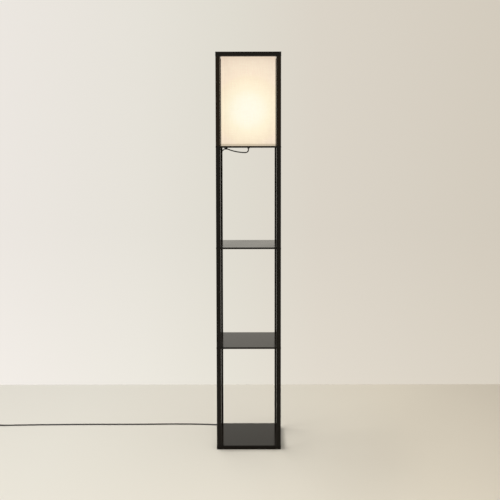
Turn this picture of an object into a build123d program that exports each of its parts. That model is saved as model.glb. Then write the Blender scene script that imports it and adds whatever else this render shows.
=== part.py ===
# Shelf floor lamp: a slim square tower of four posts, three thin shelves and a lamp box on top.
# Millimetres, +Z up, the front faces -Y. The origin is on the floor, under the middle of the lamp.
import os
from math import cos, pi, radians, sin, sqrt, tan

from build123d import *

os.makedirs("parts", exist_ok=True)

# ---- tower -------------------------------------------------------------------------------------
WIDTH = 260.0            # boards, side to side and front to back
HEIGHT = 1600.0
POST = 18.0              # square section of the posts
POST_SETBACK = 0.5       # the posts stand this far inside the boards' edges
BASE_THICK = 16.0
SHELF_THICK = 7.0
RAIL_HIGH = 18.0         # rails of the top frame
BAY_HIGH = 397.5         # clear height of each of the three open bays
EDGE_EASE = 0.4          # eased edges of posts, rails and boards

LOWER_TOP = BASE_THICK + BAY_HIGH + SHELF_THICK
MIDDLE_TOP = LOWER_TOP + BAY_HIGH + SHELF_THICK
LAMP_SHELF_TOP = MIDDLE_TOP + BAY_HIGH + SHELF_THICK
LAMP_SHELF_UNDER = LAMP_SHELF_TOP - SHELF_THICK
RAIL_UNDER = HEIGHT - RAIL_HIGH
POST_FACE = WIDTH / 2 - POST_SETBACK          # outer faces of the posts
POST_CENTRE = POST_FACE - POST / 2

# ---- fasteners of the tower --------------------------------------------------------------------
STUD_DIA = 6.0
STUD_REACH = 14.0        # how far a stud goes into each post
HOLE_GAP = 0.4           # a hole's diameter less its fastener's
SCREW_HEAD_DIA = 11.0
SCREW_HEAD_HIGH = 4.0
SCREW_HEAD_SUNK = 1.5    # the heads stay this far above the floor
SCREW_HEAD_ROOF = 1.4    # left above the key's hexagon
SCREW_KEY = 2.6          # radius of that hexagon
SCREW_REACH = 24.0
DOWEL_DIA = 6.0
DOWEL_REACH = 11.0
RAIL_PIN_DIA = 3.0       # thin dowels that join the rails of the top frame
RAIL_PIN_Z = HEIGHT - RAIL_HIGH / 4

# ---- shade -------------------------------------------------------------------------------------
SHADE_WIDTH = 217.0      # square, 3 mm clear of the posts on each side
SHADE_WALL = 1.2
SHADE_TOP = HEIGHT - 8.0
SHADE_CORNER = 2.5       # outer radius of the folded corners
HEM_HIGH = 9.0
HEM_EXTRA = 0.4          # a hem is this much thicker, on the inside
RING_WIRE = 3.0
RING_INSET = 0.3

# ---- lamp holder and bulb, heights above the lamp shelf -----------------------------------------
FLANGE_DIA = 54.0
FLANGE_THICK = 3.0
FLANGE_HOLES = 19.44     # radius of the ring of its three screws
FLANGE_HOLE_DIA = 4.4
FLANGE_SCREW_DIA = 2.8
FLANGE_SCREW_REACH = 5.5
FLANGE_HEAD_LOW = 4.3    # under the screws' heads
HUB_DIA = 18.0
HUB_TOP = 14.0
STEM_DIA = 10.0
STEM_BORE = 7.0
STEM_TOP = 44.0
CAP_LOW = 36.0           # cap of the holder, screwed on the stem
CAP_HIGH = 52.0
HOLDER_DIA = 40.0
HOLDER_WALL = 1.6
HOLDER_RIM = 90.0
SLEEVE_DIA = 28.0
SLEEVE_WALL = 0.5
SLEEVE_LOW = 64.0
SLEEVE_HIGH = 87.0
BULB_DIA = 60.0
BULB_CENTRE = 142.0
BULB_CAP_DIA = 26.0
BULB_CAP_LOW = 64.0
BULB_CAP_HIGH = 89.0
BULB_TIP_LOW = 61.5

# ---- cord --------------------------------------------------------------------------------------
CORD_DIA = 5.0
CORD_SIDES = 8           # the tube is an eight-sided one, so that it stays light
BUSH_FLANGE_DIA = 13.0
BUSH_FLANGE = 1.4
BUSH_NECK = 3.0
BUSH_BARREL_DIA = 9.0
BUSH_BORE = 5.4
BUSH_MOUTH = LAMP_SHELF_UNDER - BUSH_NECK
CLIP_FOOT = 1.0          # pad of a cord clip
CLIP_WIDE = 15.0
CLIP_LONG = 8.0
CLIP_WALL = 1.2
CLIP_BORE = CORD_DIA + 0.4
CLIP_AXIS = CLIP_FOOT + CLIP_BORE / 2         # from the face to the cord's middle
CLIP_X, CLIP_Y = -96.5, 95.0                  # the clip under the lamp shelf
CLIP_DIRECTION = (-0.40, 0.9165, 0.0)         # the cord's direction there
POST_CORD_X = -120.5                          # the cord behind the back left post
POST_CORD_Y = POST_FACE + CLIP_AXIS
POST_CLIP_HEIGHTS = (1100.0, 600.0, 66.0)
SHELF_CLIP_Z = LAMP_SHELF_UNDER - CLIP_AXIS

# From the bushing, in a slack loop, to the clip under the lamp shelf.
LOOP_ROUTE = [
    (0, 0, BUSH_MOUTH), (0, 0, 1212.5), (-3, 2.2, 1206.6), (-8.6, 6.4, 1203.3), (-17, 12.6, 1202.8),
    (-30, 22, 1203.6), (-47, 35.2, 1205.8), (-63, 48.2, 1209.2), (-77, 61.6, 1213.4), (-87, 75, 1217),
    (-92.5, 85.84, SHELF_CLIP_Z), (CLIP_X, CLIP_Y, SHELF_CLIP_Z),
]
# From that clip past the post's inner side, round to its rear and down to the lowest clip.
POST_ROUTE = [
    (CLIP_X, CLIP_Y, SHELF_CLIP_Z), (-100.4, 103.94, SHELF_CLIP_Z), (-102.5, 119, 1218.3),
    (-104, 132, 1217), (-108.5, 141, 1214.5), (-115, 144, 1208), (-119.6, 141.5, 1197),
    (POST_CORD_X, 136.5, 1182), (POST_CORD_X, POST_CORD_Y, 1162),
    (POST_CORD_X, POST_CORD_Y, POST_CLIP_HEIGHTS[-1]),
]
FLOOR_Z = CORD_DIA / 2
SWITCH_AXIS = 8.0        # height of the cord's middle in the switch
SWITCH_Y = 143.6
RELIEF_MOUTH = -1150.0   # where the cord enters the switch's first strain relief
# From the lowest clip down to the floor, and along it to the step-on switch.
FLOOR_ROUTE = [
    (POST_CORD_X, POST_CORD_Y, POST_CLIP_HEIGHTS[-1]), (POST_CORD_X, POST_CORD_Y, 48),
    (-121, 136, 34), (-124, 140, 20), (-131, 143, 9), (-142, 146, 3.4), (-157, 150, FLOOR_Z),
    (-181, 153.6, FLOOR_Z), (-217, 155.8, FLOOR_Z), (-268, 158, FLOOR_Z), (-330, 158.8, FLOOR_Z),
    (-398, 157.5, FLOOR_Z), (-467, 156, FLOOR_Z), (-536, 155.1, FLOOR_Z), (-606, 155.4, FLOOR_Z),
    (-676, 155.6, FLOOR_Z), (-745, 154.8, FLOOR_Z), (-814, 153.4, FLOOR_Z), (-882, 151.9, FLOOR_Z),
    (-950, 149.9, FLOOR_Z), (-1016, 147.2, FLOOR_Z), (-1070, 144.9, FLOOR_Z), (-1103, 143.9, 3.6),
    (-1122, SWITCH_Y, 6.4), (-1136, SWITCH_Y, SWITCH_AXIS), (RELIEF_MOUTH, SWITCH_Y, SWITCH_AXIS),
]

# ---- step-on switch ----------------------------------------------------------------------------
SWITCH_LONG = 76.0
SWITCH_WIDE = 34.0
SWITCH_BASE = 8.0        # height of the lower half, up to the cord's middle
SWITCH_HIGH = 20.0
SWITCH_WALL = 2.0
SWITCH_GAP = 0.2         # seam between the halves' lips
BUTTON_DIA = 20.0
BUTTON_GAP = 0.5         # round the button, in the cover's hole
BUTTON_TOP = 26.0
BUTTON_TRAVEL = 3.0
BUTTON_FLANGE_DIA = 24.0
BUTTON_FLANGE = 2.0
BUTTON_BORE = 14.0
SPRING_DIA = 9.0         # middle of its wire
SPRING_WIRE = 1.0
SPRING_TURNS = 4
BLOCK_HIGH = 6.0         # contact block under the spring
RELIEF_LONG = 22.0
RELIEF_DIA = 9.0
RELIEF_TIP_DIA = 6.4
RELIEF_NECK = 3.2
RELIEF_COLLAR_DIA = 11.0
RELIEF_COLLAR = 2.0
SWITCH_NEAR = RELIEF_MOUTH - RELIEF_LONG      # end of the housing towards the lamp
SWITCH_X = SWITCH_NEAR - SWITCH_LONG / 2
SWITCH_FAR = SWITCH_NEAR - SWITCH_LONG
BOSS_X = 25.0            # screw bosses, from the switch's middle
BOSS_DIA = 6.5
CASE_SCREW_DIA = 2.6
CASE_HEAD = 1.8
CASE_HEAD_TOP = 3.0      # seat of the screws' heads, above the floor
CASE_SCREW_TOP = 15.0

# ---- put-away coil and plug --------------------------------------------------------------------
COIL_TURNS_IN = 2.0      # turns of the lower layer, and of the upper one
COIL_CLIMB = 0.5         # the half turn between the layers
COIL_PITCH = 5.5         # one turn to the next, and one layer to the next
COIL_MEAN = 25.5         # radius at the middle of the turns
TIE_THICK = 0.7
TIE_WIDE = 6.0
TIE_SLACK = 0.3          # between the tie and the turns, on each side
COIL_Z = FLOOR_Z + TIE_THICK + TIE_SLACK      # the coil lies on its tie
COIL_OUTER = COIL_MEAN + COIL_PITCH * (COIL_TURNS_IN + COIL_CLIMB / 2) / 2
COIL_LEAD = 34.0         # from the switch's relief to the first turn
COIL_X = SWITCH_FAR - RELIEF_LONG - COIL_LEAD
COIL_Y = SWITCH_Y - COIL_OUTER
PLUG_LEAD = 16.0
PLUG_HIGH = 2 * (COIL_Z + COIL_PITCH)         # it rests on the floor, in line with the upper layer
PLUG_WIDE = 25.0
PLUG_BODY = 20.0
PLUG_TAPER = 18.0
BLADE_APART = 12.7
BLADE_WIDE = 6.3
BLADE_THICK = 1.5
BLADE_LONG = 17.0

CORNERS = {
    "front_left": (-POST_CENTRE, -POST_CENTRE),
    "front_right": (POST_CENTRE, -POST_CENTRE),
    "back_left": (-POST_CENTRE, POST_CENTRE),
    "back_right": (POST_CENTRE, POST_CENTRE),
}
CORNER_POINTS = list(CORNERS.values())
LEVELS = {
    "bottom": (BASE_THICK, LOWER_TOP - SHELF_THICK),
    "middle": (LOWER_TOP, MIDDLE_TOP - SHELF_THICK),
    "upper": (MIDDLE_TOP, LAMP_SHELF_UNDER),
    "lamp": (LAMP_SHELF_TOP, RAIL_UNDER),
}


def save(builder, node):
    """Label a finished piece and write it as parts/node.step."""
    builder.part.label = node
    export_step(builder.part, f"parts/{node}.step")


def down_at(x, y, z):
    """A plane at a point that faces down, for drilling upwards."""
    return Plane(origin=(x, y, z), z_dir=(0, 0, -1))


# ---- tower -------------------------------------------------------------------------------------
def soft_square(side):
    """Outline of the square bar that posts and rails are cut from, its four edges eased."""
    half, flat = side / 2, side / 2 - EDGE_EASE
    corners = [(half, flat), (flat, half), (-flat, half), (-half, flat)]
    Polygon(*corners, *[(-x, -y) for x, y in corners])


def make_post(node, x, y, level):
    low, high = LEVELS[level]
    lower_reach = SCREW_REACH if level == "bottom" else STUD_REACH
    upper_reach = DOWEL_REACH if level == "lamp" else STUD_REACH
    with BuildPart() as post:
        with BuildSketch(Plane.XY.offset(low)):
            with Locations((x, y)):
                soft_square(POST)
        extrude(amount=high - low)
        with Locations(down_at(x, y, low)):
            Hole((STUD_DIA + HOLE_GAP) / 2, depth=lower_reach)
        with Locations((x, y, high)):
            Hole((STUD_DIA + HOLE_GAP) / 2, depth=upper_reach)
    save(post, node)


def make_shelf(node, top):
    with BuildPart() as shelf:
        with BuildSketch(Plane.XY.offset(top - SHELF_THICK)):
            Rectangle(WIDTH, WIDTH)
        extrude(amount=SHELF_THICK)
        chamfer(shelf.edges().filter_by(Axis.Z, reverse=True), EDGE_EASE)
        with Locations([(x, y, top) for x, y in CORNER_POINTS]):
            Hole((STUD_DIA + HOLE_GAP) / 2)
        if top == LAMP_SHELF_TOP:
            with Locations((0, 0, top)):
                Hole((BUSH_BARREL_DIA + HOLE_GAP) / 2)
            with Locations((0, 0, top)):
                with PolarLocations(FLANGE_HOLES, 3, start_angle=90):
                    Hole((FLANGE_SCREW_DIA + HOLE_GAP) / 2, depth=FLANGE_SCREW_REACH)
    save(shelf, node)


def make_base_board():
    with BuildPart() as base:
        with BuildSketch():
            Rectangle(WIDTH, WIDTH)
        extrude(amount=BASE_THICK)
        chamfer(base.edges().filter_by(Axis.Z, reverse=True), EDGE_EASE)
        with Locations([down_at(x, y, 0) for x, y in CORNER_POINTS]):
            CounterBoreHole(
                (STUD_DIA + HOLE_GAP) / 2, SCREW_HEAD_DIA / 2 + 0.5, SCREW_HEAD_SUNK + SCREW_HEAD_HIGH
            )
    save(base, "base_board")


def make_base_screws():
    seat = SCREW_HEAD_SUNK + SCREW_HEAD_HIGH
    with BuildPart() as screws:
        with BuildSketch(Plane.XY.offset(SCREW_HEAD_SUNK)):
            with Locations(*CORNER_POINTS):
                Circle(SCREW_HEAD_DIA / 2)
                RegularPolygon(SCREW_KEY, 6, mode=Mode.SUBTRACT)
        extrude(amount=SCREW_HEAD_HIGH - SCREW_HEAD_ROOF)
        with BuildSketch(Plane.XY.offset(seat - SCREW_HEAD_ROOF)):
            with Locations(*CORNER_POINTS):
                Circle(SCREW_HEAD_DIA / 2)
        extrude(amount=SCREW_HEAD_ROOF)
        with BuildSketch(Plane.XY.offset(seat)):
            with Locations(*CORNER_POINTS):
                Circle(STUD_DIA / 2)
        extrude(amount=BASE_THICK - seat + SCREW_REACH)
    save(screws, "base_screws")


def make_studs(node, shelf_top):
    low = shelf_top - SHELF_THICK - STUD_REACH
    with BuildPart() as studs:
        with BuildSketch(Plane.XY.offset(low)):
            with Locations(*CORNER_POINTS):
                Circle(STUD_DIA / 2)
        extrude(amount=SHELF_THICK + 2 * STUD_REACH)
    save(studs, node)


def make_long_rail(node, side):
    """Front or back rail of the top frame, with the posts' dowel holes and two in its inner side."""
    inner_face = side * (WIDTH / 2 - POST)
    with BuildPart() as rail:
        with BuildSketch(Plane.YZ.offset(-WIDTH / 2)):
            with Locations((side * (WIDTH - POST) / 2, RAIL_UNDER + RAIL_HIGH / 2)):
                soft_square(POST)
        extrude(amount=WIDTH)
        with Locations([down_at(x, side * POST_CENTRE, RAIL_UNDER) for x in (-POST_CENTRE, POST_CENTRE)]):
            Hole((DOWEL_DIA + HOLE_GAP) / 2, depth=DOWEL_REACH)
        with Locations([
            Plane(origin=(x, inner_face, RAIL_PIN_Z), z_dir=(0, -side, 0))
            for x in (-POST_CENTRE, POST_CENTRE)
        ]):
            Hole((RAIL_PIN_DIA + HOLE_GAP) / 2, depth=DOWEL_REACH)
    save(rail, node)


def make_side_rail(node, side):
    length = WIDTH - 2 * POST
    ends = [
        Plane(origin=(side * POST_CENTRE, end * length / 2, RAIL_PIN_Z), z_dir=(0, end, 0))
        for end in (-1, 1)
    ]
    with BuildPart() as rail:
        with BuildSketch(Plane.XZ.offset(-length / 2)):
            with Locations((side * (WIDTH - POST) / 2, RAIL_UNDER + RAIL_HIGH / 2)):
                soft_square(POST)
        extrude(amount=length)
        with Locations(ends):
            Hole((RAIL_PIN_DIA + HOLE_GAP) / 2, depth=DOWEL_REACH)
    save(rail, node)


def make_frame_dowels():
    """Upright dowels from the posts into the rails, and thin ones that join the rails."""
    with BuildPart() as dowels:
        with BuildSketch(Plane.XY.offset(RAIL_UNDER - DOWEL_REACH)):
            with Locations(*CORNER_POINTS):
                Circle(DOWEL_DIA / 2)
        extrude(amount=2 * DOWEL_REACH)
        for side in (-1, 1):
            start = side * (WIDTH / 2 - POST) - DOWEL_REACH
            with BuildSketch(Plane.XZ.offset(-start - 2 * DOWEL_REACH)):
                with Locations(*[(x, RAIL_PIN_Z) for x in (-POST_CENTRE, POST_CENTRE)]):
                    Circle(RAIL_PIN_DIA / 2)
            extrude(amount=2 * DOWEL_REACH)
    save(dowels, "top_frame_dowels")


# ---- shade -------------------------------------------------------------------------------------
def make_shade():
    """Square fabric tube with folded corners and a thicker hem along both edges."""
    inside = SHADE_WIDTH - 2 * SHADE_WALL
    hem_inside = inside - 2 * HEM_EXTRA
    fold = SHADE_CORNER - SHADE_WALL
    with BuildPart() as shade:
        with BuildSketch(Plane.XY.offset(LAMP_SHELF_TOP)):
            RectangleRounded(SHADE_WIDTH, SHADE_WIDTH, SHADE_CORNER)
            RectangleRounded(inside, inside, fold, mode=Mode.SUBTRACT)
        extrude(amount=SHADE_TOP - LAMP_SHELF_TOP)
        for low in (LAMP_SHELF_TOP, SHADE_TOP - HEM_HIGH):
            with BuildSketch(Plane.XY.offset(low)):
                RectangleRounded(SHADE_WIDTH, SHADE_WIDTH, SHADE_CORNER)
                RectangleRounded(hem_inside, hem_inside, fold - HEM_EXTRA, mode=Mode.SUBTRACT)
            extrude(amount=HEM_HIGH)
    save(shade, "shade")


def make_shade_ring(node, height):
    """Square ring of wire that keeps the shade's edge in shape."""
    side = SHADE_WIDTH - 2 * (SHADE_WALL + HEM_EXTRA + RING_INSET) - RING_WIRE
    with BuildPart() as ring:
        with BuildLine(Plane.XY.offset(height)) as path:
            FilletPolyline(
                (side / 2, -side / 2), (side / 2, side / 2), (-side / 2, side / 2), (-side / 2, -side / 2),
                radius=4, close=True,
            )
        with BuildSketch(Plane(origin=path.line @ 0, z_dir=path.line % 0)):
            RegularPolygon(RING_WIRE / 2, 8, rotation=22.5)
        sweep()
    save(ring, node)


# ---- lamp holder and bulb ----------------------------------------------------------------------
def above_shelf(height):
    return LAMP_SHELF_TOP + height


def revolve_profile(node, points):
    """Turn a closed profile of (radius, height above the lamp shelf) about the lamp's axis."""
    with BuildPart() as turned:
        with BuildSketch(Plane.XZ):
            with BuildLine():
                Polyline(*[(r, above_shelf(z)) for r, z in points], close=True)
            make_face()
        revolve(axis=Axis.Z)
    save(turned, node)


def make_flange_plate():
    slope_top = FLANGE_THICK + 1.5
    with BuildPart() as flange:
        with BuildSketch(Plane.XZ):
            with BuildLine():
                Polyline(
                    (STEM_DIA / 2, above_shelf(0)), (FLANGE_DIA / 2, above_shelf(0)),
                    (FLANGE_DIA / 2, above_shelf(FLANGE_THICK - 1)),
                    (FLANGE_DIA / 2 - 1.5, above_shelf(FLANGE_THICK)),
                    (HUB_DIA / 2 + 3, above_shelf(slope_top)), (HUB_DIA / 2, above_shelf(slope_top + 2)),
                    (HUB_DIA / 2 - 1, above_shelf(HUB_TOP)), (STEM_DIA / 2, above_shelf(HUB_TOP)),
                    close=True,
                )
            make_face()
        revolve(axis=Axis.Z)
        with BuildSketch(Plane.XY.offset(above_shelf(0))):
            with PolarLocations(FLANGE_HOLES, 3, start_angle=90):
                Circle(FLANGE_HOLE_DIA / 2)
        extrude(amount=slope_top, mode=Mode.SUBTRACT)
    save(flange, "flange_plate")


def make_flange_screws():
    with BuildPart() as screws:
        with BuildSketch(Plane.XY.offset(above_shelf(-FLANGE_SCREW_REACH))):
            with PolarLocations(FLANGE_HOLES, 3, start_angle=90):
                Circle(FLANGE_SCREW_DIA / 2)
        extrude(amount=FLANGE_SCREW_REACH + FLANGE_HEAD_LOW)
        with BuildSketch(Plane.XY.offset(above_shelf(FLANGE_HEAD_LOW))):
            with PolarLocations(FLANGE_HOLES, 3, start_angle=90):
                Circle(3.4)
        extrude(amount=2.2, taper=25)
    save(screws, "flange_screws")


def make_stem_pipe():
    revolve_profile("stem_pipe", [
        (STEM_BORE / 2, 0), (STEM_DIA / 2, 0), (STEM_DIA / 2, STEM_TOP), (STEM_BORE / 2, STEM_TOP),
    ])


def make_holder_cap():
    """Domed lower end of the lamp holder, screwed on the stem."""
    rim = HOLDER_DIA / 2
    bore = STEM_DIA / 2 + 0.1
    with BuildPart() as cap:
        with BuildSketch(Plane.XZ):
            with BuildLine():
                Polyline(
                    (bore, above_shelf(STEM_TOP)), (bore, above_shelf(CAP_LOW)),
                    (STEM_DIA / 2 + 3, above_shelf(CAP_LOW)),
                )
                ThreePointArc(
                    (STEM_DIA / 2 + 3, above_shelf(CAP_LOW)), (rim - 3.4, above_shelf(CAP_LOW + 5.6)),
                    (rim, above_shelf(CAP_HIGH)),
                )
                Polyline(
                    (rim, above_shelf(CAP_HIGH)), (rim - HOLDER_WALL, above_shelf(CAP_HIGH)),
                    (rim - HOLDER_WALL - 2, above_shelf(STEM_TOP)), (bore, above_shelf(STEM_TOP)),
                )
            make_face()
        revolve(axis=Axis.Z)
    save(cap, "holder_cap")


def make_holder_shell():
    """Outer skirt of the holder, ribbed for grip, with a rolled rim."""
    rim = HOLDER_DIA / 2
    with BuildPart() as shell:
        with BuildSketch(Plane.XY.offset(above_shelf(CAP_HIGH))):
            Circle(rim)
            Circle(rim - HOLDER_WALL, mode=Mode.SUBTRACT)
        extrude(amount=HOLDER_RIM - CAP_HIGH)
        chamfer(shell.faces().sort_by(Axis.Z)[-1].edges(), HOLDER_WALL * 0.4)
        with BuildSketch(Plane.XY.offset(above_shelf(CAP_HIGH + 3))):
            with PolarLocations(rim, 12):
                Rectangle(1.2, 2.4)
            Circle(rim - 0.8, mode=Mode.SUBTRACT)
        extrude(amount=18)
    save(shell, "holder_shell")


def make_holder_liner():
    """Insulating cup that carries the sleeve and the centre contact."""
    outer = HOLDER_DIA / 2 - HOLDER_WALL - 0.3
    inner = SLEEVE_DIA / 2 + 0.1
    revolve_profile("holder_liner", [
        (0, CAP_HIGH + 1), (outer, CAP_HIGH + 1), (outer, HOLDER_RIM - 2), (inner, HOLDER_RIM - 2),
        (inner, SLEEVE_LOW - 5), (0, SLEEVE_LOW - 5),
    ])


def make_screw_sleeve():
    """Thin metal sleeve, pressed with rounded threads that the bulb's cap turns into."""
    outer = SLEEVE_DIA / 2
    rounds = 3
    pitch = (SLEEVE_HIGH - SLEEVE_LOW - 3) / rounds
    crests = []
    for turn in range(rounds):
        low = SLEEVE_LOW + 1.5 + turn * pitch
        crests += [(outer - 0.7, low), (outer, low + pitch / 2)]
    crests += [(outer - 0.7, SLEEVE_HIGH - 1.5)]
    wall = [(outer, SLEEVE_LOW)] + crests + [(outer, SLEEVE_HIGH)]
    inside = [(r - SLEEVE_WALL, z) for r, z in reversed(wall)]
    revolve_profile("screw_sleeve", wall + inside)


def make_centre_contact():
    """Sprung brass strip at the bottom of the holder: a foot, folded back into a raised tongue."""
    strip = 0.5
    low, tip = above_shelf(SLEEVE_LOW - 5), above_shelf(BULB_TIP_LOW)
    with BuildPart() as contact:
        with BuildSketch(Plane.XZ.offset(-3)):
            with BuildLine():
                Polyline(
                    (9, low), (-9, low), (-4, tip), (5, tip), (5, tip - strip), (-3.6, tip - strip),
                    (-7.6, low + strip), (9, low + strip), close=True,
                )
            make_face()
        extrude(amount=6)
    save(contact, "centre_contact")


def make_bulb_globe():
    """Round bulb that runs into its cap through a hollow curve."""
    ball = BULB_DIA / 2
    neck = BULB_CAP_DIA / 2 - 0.5
    meet = radians(48)
    touch_r, touch_z = ball * cos(meet), BULB_CENTRE - ball * sin(meet)
    hollow = (touch_r - neck) / (1 - cos(meet))
    start_z = touch_z - hollow * sin(meet)
    with BuildPart() as globe:
        with BuildSketch(Plane.XZ):
            with BuildLine():
                Polyline(
                    (0, above_shelf(BULB_CENTRE + ball)), (0, above_shelf(BULB_CAP_HIGH)),
                    (neck, above_shelf(BULB_CAP_HIGH)), (neck, above_shelf(start_z)),
                )
                TangentArc(
                    (neck, above_shelf(start_z)), (touch_r, above_shelf(touch_z)), tangent=(0, 1)
                )
                ThreePointArc(
                    (touch_r, above_shelf(touch_z)),
                    (ball * cos(radians(20)), above_shelf(BULB_CENTRE + ball * sin(radians(20)))),
                    (0, above_shelf(BULB_CENTRE + ball)),
                )
            make_face()
        revolve(axis=Axis.Z)
    save(globe, "bulb_globe")


def make_bulb_cap():
    """Screw cap with rounded threads, its black insulator and the tip contact below."""
    outer = BULB_CAP_DIA / 2
    rounds = 3
    low_thread, high_thread = BULB_CAP_LOW + 4, BULB_CAP_HIGH - 4
    pitch = (high_thread - low_thread) / rounds
    profile = [(0, BULB_CAP_LOW + 1.5), (6, BULB_CAP_LOW + 1.5), (outer - 2, low_thread)]
    for turn in range(rounds):
        low = low_thread + turn * pitch
        profile += [(outer - 1.1, low + 0.3), (outer - 0.4, low + pitch / 2)]
    profile += [(outer - 1.1, high_thread), (outer - 0.6, BULB_CAP_HIGH), (0, BULB_CAP_HIGH)]
    with BuildPart() as cap:
        with BuildSketch(Plane.XZ):
            with BuildLine():
                Polyline(*[(r, above_shelf(z)) for r, z in profile], close=True)
            make_face()
        revolve(axis=Axis.Z)
        with BuildSketch(Plane.XY.offset(above_shelf(BULB_TIP_LOW))):
            Circle(4.5)
        extrude(amount=BULB_CAP_LOW + 1.5 - BULB_TIP_LOW)
    save(cap, "bulb_cap")


# ---- cord --------------------------------------------------------------------------------------
def bend_radii(route):
    """Radius of each arc: 0.45 of the shorter run, divided by the tangent of half the turn."""
    radii = []
    for before, corner, after in zip(route, route[1:], route[2:]):
        run_in, run_out = Vector(*corner) - Vector(*before), Vector(*after) - Vector(*corner)
        turn = run_in.get_angle(run_out)
        radii.append(0.45 * min(run_in.length, run_out.length) / tan(radians(turn / 2)))
    return radii


def cord_section():
    """The cord's outline, with a flat side down."""
    RegularPolygon(CORD_DIA / 2, CORD_SIDES, rotation=180 / CORD_SIDES)


CORD_AREA = CORD_SIDES / 2 * (CORD_DIA / 2) ** 2 * sin(2 * pi / CORD_SIDES)


def make_cord(node, route):
    """Tube along straight runs joined by tangent arcs."""
    radii = bend_radii(route)
    with BuildPart() as cord:
        with BuildLine() as path:
            FilletPolyline(*route, radius=radii)
        with BuildSketch(Plane(origin=path.line @ 0, z_dir=path.line % 0)):
            cord_section()
        sweep()
    length = sum(edge.length for edge in path.edges())
    print(f"{node}: length {length:.0f}, tightest bend {min(radii):.1f}")
    print(f"  volume {cord.part.volume:.0f}, section x length {CORD_AREA * length:.0f}")
    save(cord, node)


def make_stem_cord():
    """The cord's hidden length, from the bushing's mouth up to the holder's cap."""
    with BuildPart() as cord:
        with BuildSketch(Plane.XY.offset(BUSH_MOUTH)):
            Circle(CORD_DIA / 2)
        extrude(amount=above_shelf(CAP_HIGH) - BUSH_MOUTH)
    save(cord, "cord_in_stem")


def make_cord_bushing():
    """Black bushing in the lamp shelf: barrel, flange under the shelf and a short tapered neck."""
    bore, barrel = BUSH_BORE / 2, BUSH_BARREL_DIA / 2
    revolve_profile("cord_bushing", [
        (bore, -SHELF_THICK - BUSH_NECK), (bore + 1.1, -SHELF_THICK - BUSH_NECK),
        (bore + 1.7, -SHELF_THICK - BUSH_FLANGE), (BUSH_FLANGE_DIA / 2 - 0.6, -SHELF_THICK - BUSH_FLANGE),
        (BUSH_FLANGE_DIA / 2, -SHELF_THICK - 0.6), (BUSH_FLANGE_DIA / 2, -SHELF_THICK),
        (barrel, -SHELF_THICK), (barrel, 0), (bore, 0),
    ])


def clip_outline():
    """A pad with an arch over the cord, drawn with the carrying face along X and the cord at +Y."""
    ring = CLIP_BORE / 2 + CLIP_WALL
    with Locations((0, CLIP_FOOT / 2)):
        Rectangle(CLIP_WIDE, CLIP_FOOT)
    with Locations((0, CLIP_AXIS)):
        Circle(ring)
    with Locations((0, CLIP_AXIS / 2)):
        Rectangle(2 * ring, CLIP_AXIS)
    with Locations((0, CLIP_AXIS)):
        Circle(CLIP_BORE / 2, mode=Mode.SUBTRACT)
    with Locations((0, -ring)):
        Rectangle(4 * ring, 2 * ring, mode=Mode.SUBTRACT)


def make_cord_clips():
    along = Vector(*CLIP_DIRECTION)
    shelf_plane = Plane(
        origin=Vector(CLIP_X, CLIP_Y, LAMP_SHELF_UNDER) - along * (CLIP_LONG / 2),
        x_dir=along.cross(Vector(0, 0, 1)), z_dir=along,
    )
    with BuildPart() as clips:
        with BuildSketch(shelf_plane):
            clip_outline()
        extrude(amount=CLIP_LONG)
        for height in POST_CLIP_HEIGHTS:
            post_plane = Plane(
                origin=(POST_CORD_X, POST_FACE, height + CLIP_LONG / 2), x_dir=(1, 0, 0), z_dir=(0, 0, -1)
            )
            with BuildSketch(post_plane):
                with Locations(Rotation(0, 0, 180)):
                    clip_outline()
            extrude(amount=CLIP_LONG)
    save(clips, "cord_clips")


# ---- step-on switch ----------------------------------------------------------------------------
BOSSES = [(SWITCH_X - BOSS_X, SWITCH_Y - 9), (SWITCH_X + BOSS_X, SWITCH_Y + 9)]


def relief_planes():
    """Planes on the housing's two ends, facing out, on the cord's axis."""
    return [
        Plane(origin=(end, SWITCH_Y, SWITCH_AXIS), z_dir=(outward, 0, 0))
        for end, outward in ((SWITCH_NEAR, 1), (SWITCH_FAR, -1))
    ]


def make_switch_base():
    """Lower half of the pill-shaped housing: a tray with two screw bosses."""
    inside = 2 * SWITCH_WALL
    with BuildPart() as base:
        with BuildSketch():
            with Locations((SWITCH_X, SWITCH_Y)):
                SlotOverall(SWITCH_LONG, SWITCH_WIDE)
        extrude(amount=SWITCH_BASE)
        chamfer(base.faces().sort_by(Axis.Z)[0].edges(), 1.2)
        with BuildSketch(Plane.XY.offset(SWITCH_WALL)):
            with Locations((SWITCH_X, SWITCH_Y)):
                SlotOverall(SWITCH_LONG - inside, SWITCH_WIDE - inside)
        extrude(amount=SWITCH_BASE - SWITCH_WALL, mode=Mode.SUBTRACT)
        with BuildSketch(Plane.XY.offset(SWITCH_WALL)):
            with Locations(*BOSSES):
                Circle(BOSS_DIA / 2)
        extrude(amount=SWITCH_BASE - SWITCH_WALL)
        with Locations(*relief_planes()):
            Hole(RELIEF_DIA / 2 + 0.1, depth=2 * SWITCH_WALL)
        with Locations([down_at(x, y, 0) for x, y in BOSSES]):
            CounterBoreHole((CASE_SCREW_DIA + HOLE_GAP) / 2, 2.7, CASE_HEAD_TOP)
    save(base, "switch_base")


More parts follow.
